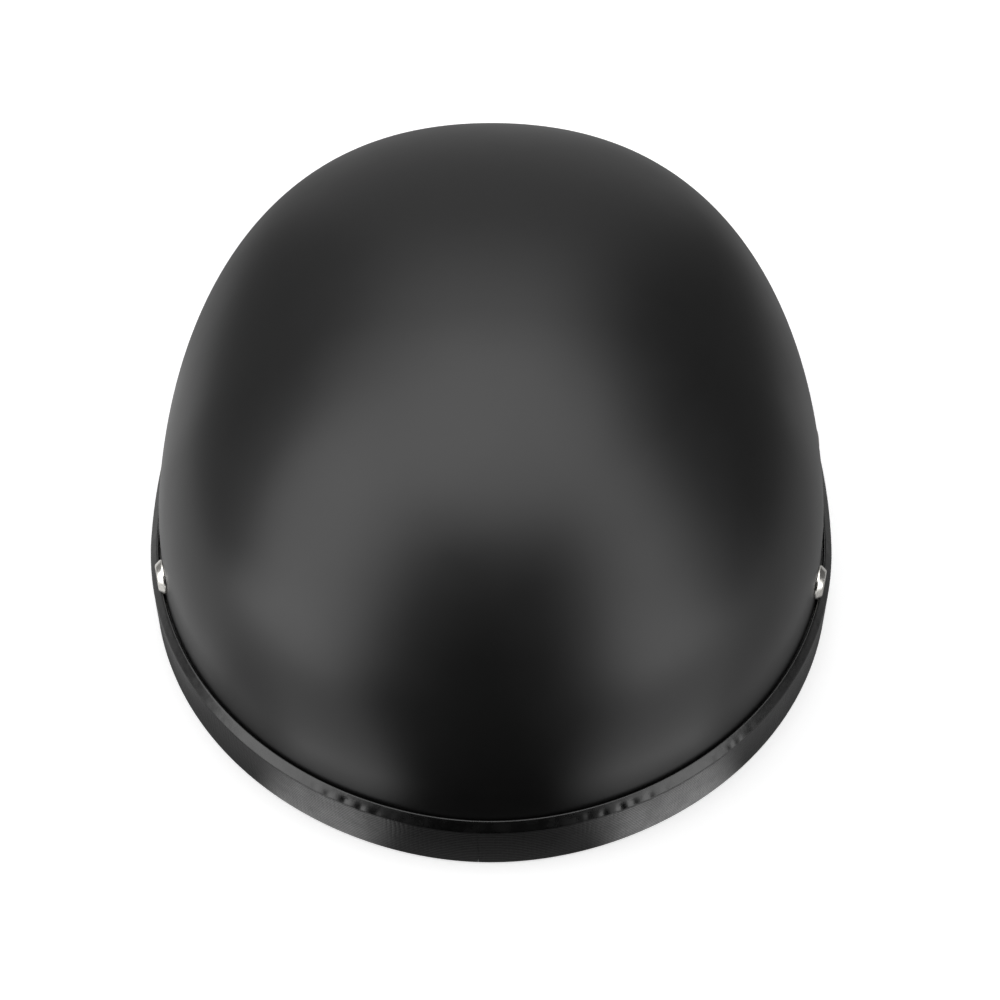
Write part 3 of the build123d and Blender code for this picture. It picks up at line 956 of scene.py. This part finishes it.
class Side:
    """One side's straps: their own frame, X inwards from the fold, and their measures."""

    def __init__(self, side):
        strap, rivet = sizes("straps"), sizes("rivet")
        self.strap = strap
        self.word = "left" if side > 0 else "right"
        self.body = f"{self.word}_straps"
        fold = next(joint for joint in frame["joints"] if joint["child"] == self.body)
        self.divider_x = strap.leg_length + strap.divider_length / 2
        self.eye_x = self.divider_x + strap.eye_reach
        self.eye_inner = 2 * strap.ring_wire + 2 * strap.gap
        self.tail_rise = strap.thickness + strap.snap_gap
        fold_x, _, fold_z = fold["pos_m"]
        self.tail_turn = 2 * abs(fold_x) - strap.leg_length - (self.tail_rise + strap.thickness) / 2
        if side > 0:
            drop, reach = fold_z - self.eye_inner - strap.thickness - strap.gap, self.eye_x
        else:
            drop, reach = fold_z - strap.thickness / 2 - strap.gap, self.tail_turn
        turn = Matrix.Rotation(math.pi if side > 0 else 0, 4, "Z")
        tilt = Matrix.Rotation(math.asin(drop / reach), 4, "Y")
        self.place = Matrix.Translation(fold["pos_m"]) @ turn @ tilt
        widest_y = scene_bowl().widest_y
        self.front_y = -side * (widest_y - rivet.front_advance)
        self.rear_y = -side * (widest_y + rivet.rear_setback)
        middle_y = widest_y + (rivet.rear_setback - rivet.front_advance) / 2
        self.strap_y = -side * (middle_y - side * strap.spread / 2)

    def path(self, line):
        """A line of reaches and rises, as a path along the middle of the chin strap."""
        return np.stack([line[:, 0], np.full(len(line), self.strap_y), line[:, 1]], axis=1)

    def put(self, piece, finish, node=None, slot=None, body=None):
        """Set a piece made in the side's frame in place, and dress it."""
        piece.data.transform(self.place)
        return dress(piece, finish, body or self.body, node=node)


def make_leg(side, end, start_y, stack):
    """One leg, flat and square to its fold, and smoothly turned into the divider."""
    strap = side.strap
    rise = stack * (strap.thickness + strap.gap) / 2
    stop = side.divider_x - strap.gap
    middle = strap.leg_length - strap.divider_length
    reach = [
        (0, start_y, 0), (strap.leg_lead, start_y, rise),
        (middle, side.strap_y, rise), (strap.leg_length, side.strap_y, rise),
    ]
    tail = curve([(strap.leg_length, side.strap_y, rise), (stop, side.strap_y, rise)], 5)[1:]
    path = np.concatenate([curve(reach, 41), tail])
    piece = web_strip(f"{side.word}_{end}_leg_web", path, (0, 1, 0), strap.width, strap.thickness)
    side.put(piece, "webbing", node=f"{side.word}_{end}_leg")


def make_anchor(name, seat, side):
    """The fixed end of a leg: flat under the rivet, then down to the fold."""
    strap = side.strap
    into = -strap.anchor_depth
    top = seat @ Vector((0, strap.anchor_half, into))
    bend = seat @ Vector((0, -strap.anchor_half, into))
    stop = side.place @ Vector((0, 0, 0))
    stop.y, stop.z = seat.translation.y, stop.z + strap.thickness / 2 + strap.gap
    handle = bend + (bend - top) * 0.35
    above = Vector((stop.x, stop.y, stop.z + (bend.z - stop.z) * 0.4))
    path = np.concatenate([curve([top, bend], 9)[:-1], curve([bend, handle, above, stop], 17)])
    level = np.array(seat.col[0][:3])
    square = np.array([0.0, math.copysign(1, level[1]), 0.0])
    share_down = np.clip(np.arange(len(path)) / len(path) * 1.4 - 0.4, 0, 1)[:, None]
    across = level * (1 - share_down) + square * share_down
    piece = web_strip(f"{name}_anchor_strip", path, across, strap.width, strap.thickness)
    dress(piece, "webbing", "helmet", node=f"{name}_anchor_web")


def make_legs():
    """Each side's anchors, legs and divider."""
    places = rivet_places()
    for side in (Side(1), Side(-1)):
        for end, start_y, stack in (("front", side.front_y, 1), ("rear", side.rear_y, -1)):
            name = f"{end}_{side.word}"
            make_anchor(name, places[name], side)
            make_leg(side, end, start_y, stack)
        dress_node(f"{side.word}_divider", "divider_plastic")


def make_short_strap():
    """The doubled left chin strap, sewn behind the eye that holds the rings."""
    side = Side(1)
    strap = side.strap
    layer = strap.thickness / 2
    start, eye, radius = side.divider_x + strap.gap, side.eye_x, side.eye_inner + layer
    neck = eye - 2.4 * radius
    lower = curve([(start, -layer), (neck, -layer)], 13)[:-1]
    flare = curve([(neck, -layer), (neck + radius, -layer), (eye - radius, -radius), (eye, -radius)], 13)[:-1]
    angles = np.linspace(-math.pi / 2, math.pi / 2, 17)
    bend = np.stack([eye + radius * np.cos(angles), radius * np.sin(angles)], axis=1)
    half = np.concatenate([lower, flare])
    back = half[::-1] * (1, -1)
    path = side.path(np.concatenate([half, bend, back]))
    piece = web_strip("short_chin_strap_web", path, (0, 1, 0), strap.width, strap.thickness)
    side.put(piece, "webbing", node="short_chin_strap")
    near, far = start + strap.thickness * 4, neck - strap.thickness
    proud = strap.thickness + strap.thread_radius * 0.3
    inset = strap.width / 2 - 2.6 * mm
    runs = [run for z in (proud, -proud) for run in box_runs(near, far, inset, side.strap_y, z)]
    side.put(stitches("short_chin_strap_stitches", runs, strap), "stitching", slot="webbing")


def make_long_strap():
    """The right chin strap, with its tail turned back on itself."""
    side = Side(-1)
    strap = side.strap
    rise = side.tail_rise
    start, fold = side.divider_x + strap.gap, side.tail_turn
    run = curve([(start, 0), (fold, 0)], 41)[:-1]
    angles = np.linspace(-math.pi / 2, math.pi / 2, 17)
    bend = np.stack([fold + rise / 2 * np.cos(angles), rise / 2 + rise / 2 * np.sin(angles)], axis=1)
    end = fold - strap.tail_length
    tip = end + strap.tail_corner
    tail = curve([(fold, rise), (tip, rise)], 31)[1:]
    closing = np.linspace(0, math.pi / 2, 9)[1:]
    close = np.stack([tip - strap.tail_corner * np.sin(closing), np.full(8, rise)], axis=1)
    line = np.concatenate([run, bend, tail, close])
    widths = np.full(len(line), strap.width)
    widths[-8:] = strap.width - 2 * strap.tail_corner * (1 - np.cos(closing))
    piece = web_strip("long_chin_strap_web", side.path(line), (0, 1, 0), widths, strap.thickness)
    side.put(piece, "webbing", node="long_chin_strap")
    proud = rise + strap.thickness / 2 + strap.thread_radius * 0.3
    hem, inset = 3 * mm, strap.width / 2 - 3 * mm
    low_y, high_y = side.strap_y - inset, side.strap_y + inset
    runs = [((x, low_y, proud), (x, high_y, proud), (0, 0, 1)) for x in (end + hem, end + 2 * hem)]
    side.put(stitches("long_chin_strap_stitches", runs, strap), "stitching", slot="webbing")


def make_rings():
    """Two round wire rings on the short strap's eye."""
    side = Side(1)
    strap = side.strap
    half = strap.width / 2 + strap.ring_side_gap + strap.ring_wire
    corner, arm = strap.ring_corner, strap.ring_arm
    quarter = np.linspace(0, math.pi / 2, 9)
    half_turn = np.linspace(math.pi / 2, -math.pi / 2, 49)
    upper = [(corner - corner * np.cos(a), half - corner + corner * np.sin(a)) for a in quarter]
    bow = [(arm + half * np.cos(a), half * np.sin(a)) for a in half_turn]
    lower = [(x, -y) for x, y in reversed(upper)]
    bar = [(0, y) for y in np.linspace(-half + corner, half - corner, 11)[1:-1]]
    line = np.array(upper + bow + lower + bar)
    centre = np.stack([line[:, 0], line[:, 1], np.zeros(len(line))], axis=1)
    tangent = unit(np.roll(centre, -1, axis=0) - np.roll(centre, 1, axis=0))
    up = np.array([0, 0, 1.0])
    outward = np.cross(tangent, up)
    angles = np.linspace(0, 2 * math.pi, 20, endpoint=False)
    for word, level in (("upper", 1), ("lower", -1)):
        place = np.array([side.eye_x, side.strap_y, level * (strap.ring_wire + strap.gap / 2)])
        ring = centre + place
        points = ring[None] + strap.ring_wire * (
            np.cos(angles)[:, None, None] * outward[None] + np.sin(angles)[:, None, None] * up
        )
        piece = grid_piece(f"{word}_d_ring_wire", points, close_rows=True, close_columns=True)
        side.put(piece, "ring_steel", node=f"{word}_d_ring", body=f"{word}_ring")


def make_snap():
    """The snap that holds the tail: stud below, socket under the tail and cap on it."""
    side = Side(-1)
    strap = side.strap
    reach, foot = strap.snap_radius, strap.thickness / 2
    place = Matrix.Translation((side.divider_x + strap.snap_reach, side.strap_y, 0))
    flange = foot + strap.stud_height
    post = flange + strap.post_height
    under = side.tail_rise - foot
    over = side.tail_rise + foot
    cap = over + strap.cap_height
    neck = strap.post_radius * 0.8
    outlines = {
        "stud": [(0, foot, 0), (reach, foot, 0.2 * mm), (reach, flange, 0.5 * mm), (neck, flange, 0.3 * mm),
                 (neck, flange + 0.5 * mm, 0.2 * mm), (strap.post_radius, flange + 0.8 * mm, 0.3 * mm),
                 (strap.post_radius, post, 0.6 * mm), (0, post, 0)],
        "socket": [(0, under, 0), (reach, under, 0.2 * mm), (reach, flange, 0.5 * mm),
                   (strap.post_radius * 1.7, flange, 0.4 * mm),
                   (strap.post_radius * 1.2, flange + 0.5 * mm, 0.2 * mm),
                   (strap.post_radius + strap.gap, post + strap.gap, 0), (0, post + strap.gap, 0)],
        "cap": [(0, over, 0), (reach, over, 0.15 * mm), (reach, over + 0.6 * mm, 0.45 * mm),
                (reach * 0.6, cap, 1.2 * mm), (0, cap, 0)],
    }
    for word, corners in outlines.items():
        piece = turned(f"snap_{word}_turned", rounded(corners, closed=False), place, sharp_angle=50)
        side.put(piece, "snap_metal", node=f"snap_{word}")


def toward(azimuth, elevation):
    """A direction from the helmet: azimuth 0 is toward the camera, and 90 toward +X."""
    azimuth, elevation = math.radians(azimuth), math.radians(elevation)
    level = math.cos(elevation)
    return Vector((math.sin(azimuth) * level, math.cos(azimuth) * level, math.sin(elevation)))


def make_lamp(name, azimuth, elevation, distance, width, height, radiance, aim):
    """A square soft light, given by the radiance of its face."""
    light = bpy.data.lights.new(name, "AREA")
    light.shape = "RECTANGLE"
    light.size, light.size_y = width, height
    light.energy = radiance * math.pi * width * height
    lamp = link(name, light)
    lamp.location = aim + toward(azimuth, elevation) * distance
    lamp.rotation_euler = (lamp.location - aim).to_track_quat("Z", "Y").to_euler()
    lamp.visible_camera = lamp.visible_glossy = False


white = (1, 1, 1, 1)
# The degrees over which a card fades at its two sides, and the points across it
soft_edge, card_points = 10, 97
# From the middle of the helmet to a floor card's near and far edges, and the share by the rim
rim_reach, floor_reach, rim_share = 0.1, 0.33, 0.12
# How far the first standing card is, and how much nearer each next one
card_distance, card_step = 3, 0.05


def card_level(number):
    """The height of a card's foot, a little higher for each card, so that no two share a plane."""
    return (number * 0.03 - 0.35) * mm


def card_piece(name, rows, middle):
    """A card from rows of two edge azimuths, a reach and a height, with its soft edges as UV."""
    points, inside = [], []
    for (first, last), reach, height in rows:
        ring = last - first >= 360
        margin = 0 if ring else soft_edge / 2
        azimuths = np.linspace(first - margin, last + margin, card_points)
        centre = middle + Vector((0, 0, height))
        points.append([centre + toward(azimuth, 0) * reach for azimuth in azimuths])
        depths = (azimuths - azimuths[0], azimuths[-1] - azimuths)
        inside.append(np.ones((card_points, 2)) if ring else np.stack(depths, axis=1) / soft_edge)
    return grid_piece(name, np.array(points), np.array(inside))


def make_card(name, foot, head, elevations, radiance, number, aim):
    """A curved card between two azimuths at its foot and two at its head, on the floor or hung.

    One that starts at the floor runs on towards the helmet, as a paper sweep does.
    """
    distance = card_distance - number * card_step
    rows = [(foot, floor_reach, 0), (foot, distance, 0)] if elevations[0] == 0 else []
    for up in np.linspace(0, 1, 19)[len(rows) // 2:]:
        edges = [low + (high - low) * up for low, high in zip(foot, head)]
        level = toward(0, elevations[0] + (elevations[1] - elevations[0]) * up) * distance
        rows.append((edges, level.y, level.z))
    show_as_card(card_piece(name, rows, Vector((aim.x, aim.y, card_level(number)))), radiance)


def make_floor_card(name, inner, outer, radiance, rim_radiance, number, aim):
    """A flat card by the helmet, between two azimuths at each end, with its own radiance at the rim."""
    middle = Vector((aim.x, aim.y, card_level(number)))
    for word, start, stop, glow in (("", rim_share, 1, radiance), ("_by_rim", 0, rim_share, rim_radiance)):
        rows = []
        for place in np.linspace(start, stop, 9):
            edges = [near + (far - near) * place for near, far in zip(inner, outer)]
            rows.append((edges, rim_reach + (floor_reach - rim_reach) * place, 0))
        show_as_card(card_piece(name + word, rows, middle), glow)


# Azimuths at a card's foot and at its head, its elevations and its radiance
cards = {
    "room_card": ((-180, 180), (-180, 180), (0, 90), 1.26),
    "far_card": ((72, 296), (72, 321), (0, 40), 0.2),
    "back_card": ((150, 215), (150, 215), (0, 40), 0.4),
    "right_flag": ((-150, -90), (-150, -92), (0, 52), 0.1),
    "near_flag": ((-34, 38), (-48, 45), (0, 69), 0.0),
    "left_card": ((42, 77), (43, 117), (0, 58), 2.5),
    "right_card": ((-67, -39), (-83, -53), (0, 58), 2.5),
    "top_card": ((-180, 180), (-180, 180), (58, 90), 2.4),
}
# Azimuths at a card's inner end and at its outer end, and its radiance away from the rim and at it
floor_cards = {
    "floor_card": ((-180, 180), (-180, 180), 0.4, 0.18),
    "left_wing_card": ((60, 120), (75, 140), 0.7, 0.2),
    "near_floor_card": ((-14, 13), (-31, 34), 0.0, 0.15),
    "left_floor_card": ((17, 34), (38, 80), 0.85, 1.35),
    "right_floor_card": ((-39, -19), (-88, -42), 0.85, 1.5),
}


def show_as_card(card, radiance):
    """An even radiance that fades at the card's sides, seen by glossy rays alone."""
    tree = Tree(card.name)
    first, last, _ = tree.axes("UV")
    inside = tree.math("MINIMUM", first, last)
    fade = tree.add("ShaderNodeMapRange", {"Value": inside}, interpolation_type="SMOOTHSTEP")
    clear = tree.add("ShaderNodeBsdfTransparent")
    glow = tree.add("ShaderNodeEmission", {"Color": white, "Strength": radiance})
    tree.show(tree.add("ShaderNodeMixShader", {0: fade, 1: clear, 2: glow}))
    card.data.materials.append(tree.material)
    card.visible_camera = card.visible_diffuse = card.visible_shadow = False
    card.visible_transmission = card.visible_volume_scatter = False


def make_floor():
    """A pale floor that shows white, apart from the helmet's shadow, and that is clear from below."""
    mesh = bpy.data.meshes.new("floor")
    reach, level = 12, -0.4 * mm
    corners = [(x * reach, y * reach, level) for x, y in ((-1, -1), (1, -1), (1, 1), (-1, 1))]
    mesh.from_pydata(corners, [], [(0, 1, 2, 3)])
    floor = link("floor", mesh)
    tree = Tree("floor")
    paint = tree.add("ShaderNodeBsdfDiffuse", {"Color": (0.8, 0.8, 0.8, 1)})
    lift = tree.math("MULTIPLY", tree.white_when_seen(), 0.55)
    glow = tree.add("ShaderNodeEmission", {"Color": white, "Strength": lift})
    above = tree.add("ShaderNodeAddShader", {0: paint, 1: glow})
    below = tree.add("ShaderNodeNewGeometry", output="Backfacing")
    clear = tree.add("ShaderNodeBsdfTransparent")
    tree.show(tree.add("ShaderNodeMixShader", {0: below, 1: above, 2: clear}))
    mesh.materials.append(tree.material)
    floor.visible_diffuse = floor.visible_shadow = False


def make_world(radiance):
    """A room that lights evenly and shows white."""
    world = bpy.data.worlds.new("studio")
    bpy.context.scene.world = world
    tree = Tree("studio", world)
    light = tree.math("MULTIPLY_ADD", tree.white_when_seen(), 1 - radiance, radiance)
    tree.paint(Color=white, Strength=light)


def make_camera(studio, aim):
    """The photograph's view, from above and behind."""
    data = bpy.data.cameras.new("camera")
    data.lens, data.sensor_width = studio.lens, 36
    data.shift_x, data.shift_y = 0.0088, -0.0152
    camera = link("camera", data)
    away = toward(math.degrees(studio.camera_azimuth), math.degrees(studio.camera_elevation))
    camera.location = aim + away * studio.camera_distance
    camera.rotation_euler = away.to_track_quat("Z", "Y").to_euler()
    bpy.context.scene.camera = camera


def make_studio():
    """Floor, room, lamps, cards and camera."""
    studio = sizes("studio")
    bowl = scene_bowl()
    aim = Vector((0, bowl.widest_y, 50 * mm))
    make_floor()
    make_world(studio.world_light)
    make_lamp("top_lamp", 150, 72, 1.35, 1.3, 1.3, studio.top_light, aim)
    make_lamp("left_lamp", 80, 25, 1.3, 1.0, 1.1, studio.side_light, aim)
    make_lamp("right_lamp", -78, 38, 1.3, 1.0, 0.9, studio.side_light, aim)
    for number, (name, card) in enumerate(cards.items()):
        make_card(name, *card, number, aim)
    for number, (name, card) in enumerate(floor_cards.items()):
        make_floor_card(name, *card, len(cards) + number, aim)
    make_camera(studio, aim)
    bpy.context.scene.view_settings.view_transform = "Standard"


class HELMET_OT_finishes(bpy.types.Operator):
    """Make every material of the helmet"""

    bl_idname = "helmet.finishes"
    bl_label = "Finishes"

    def execute(self, context):
        make_finishes()
        return {"FINISHED"}


class HELMET_OT_studio(bpy.types.Operator):
    """Make the floor, the room, the lamps and the camera"""

    bl_idname = "helmet.studio"
    bl_label = "Studio"

    def execute(self, context):
        make_studio()
        return {"FINISHED"}


class HELMET_OT_shell(bpy.types.Operator):
    """Make the painted shell"""

    bl_idname = "helmet.shell"
    bl_label = "Shell"

    def execute(self, context):
        make_shell()
        return {"FINISHED"}


class HELMET_OT_trim(bpy.types.Operator):
    """Make the vinyl trim round the rim"""

    bl_idname = "helmet.trim"
    bl_label = "Edge trim"

    def execute(self, context):
        make_trim()
        return {"FINISHED"}


class HELMET_OT_rivets(bpy.types.Operator):
    """Make the rivets and dress their washers"""

    bl_idname = "helmet.rivets"
    bl_label = "Rivets"

    def execute(self, context):
        make_rivets()
        return {"FINISHED"}


class HELMET_OT_lining(bpy.types.Operator):
    """Make the impact liner and its pads"""

    bl_idname = "helmet.lining"
    bl_label = "Lining"

    def execute(self, context):
        make_lining()
        return {"FINISHED"}


class HELMET_OT_legs(bpy.types.Operator):
    """Make the anchors, the strap legs and their dividers"""

    bl_idname = "helmet.legs"
    bl_label = "Strap legs"

    def execute(self, context):
        make_legs()
        return {"FINISHED"}


class HELMET_OT_chin_straps(bpy.types.Operator):
    """Make the two chin straps and their stitching"""

    bl_idname = "helmet.chin_straps"
    bl_label = "Chin straps"

    def execute(self, context):
        make_short_strap()
        make_long_strap()
        return {"FINISHED"}


class HELMET_OT_rings(bpy.types.Operator):
    """Make the two D rings"""

    bl_idname = "helmet.rings"
    bl_label = "D rings"

    def execute(self, context):
        make_rings()
        return {"FINISHED"}


class HELMET_OT_snap(bpy.types.Operator):
    """Make the snap that holds the tail"""

    bl_idname = "helmet.snap"
    bl_label = "Snap"

    def execute(self, context):
        make_snap()
        return {"FINISHED"}


operators = (
    HELMET_OT_finishes,
    HELMET_OT_studio,
    HELMET_OT_shell,
    HELMET_OT_trim,
    HELMET_OT_rivets,
    HELMET_OT_lining,
    HELMET_OT_legs,
    HELMET_OT_chin_straps,
    HELMET_OT_rings,
    HELMET_OT_snap,
)
groups = {
    "helmet_form": HelmetForm,
    "helmet_trim": TrimForm,
    "helmet_rivet": RivetForm,
    "helmet_pads": PadForm,
    "helmet_straps": StrapForm,
    "helmet_colours": FinishColours,
    "helmet_studio": StudioForm,
}


class HELMET_PT_sidebar(bpy.types.Panel):
    """Lists the steps that build the helmet"""

    bl_idname = "HELMET_PT_sidebar"
    bl_label = "Half shell helmet"
    bl_space_type = "VIEW_3D"
    bl_region_type = "UI"
    bl_category = "Helmet"

    def draw(self, context):
        for name in groups:
            box = self.layout.box()
            for key in getattr(context.scene, name).bl_rna.properties.keys()[2:]:
                box.prop(getattr(context.scene, name), key)
        for operator in operators:
            self.layout.operator(operator.bl_idname)


def register():
    """Add the classes and the scene's properties."""
    for kind in (*groups.values(), *operators, HELMET_PT_sidebar):
        bpy.utils.register_class(kind)
    for name, kind in groups.items():
        setattr(bpy.types.Scene, name, bpy.props.PointerProperty(type=kind))


def unregister():
    """Take the classes and the scene's properties away."""
    for name in groups:
        delattr(bpy.types.Scene, name)
    for kind in (HELMET_PT_sidebar, *reversed(operators), *groups.values()):
        bpy.utils.unregister_class(kind)


def main():
    """Build everything."""
    register()
    for operator in operators:
        getattr(bpy.ops.helmet, operator.bl_idname.split(".")[1])()


if __name__ == "__main__":
    main()
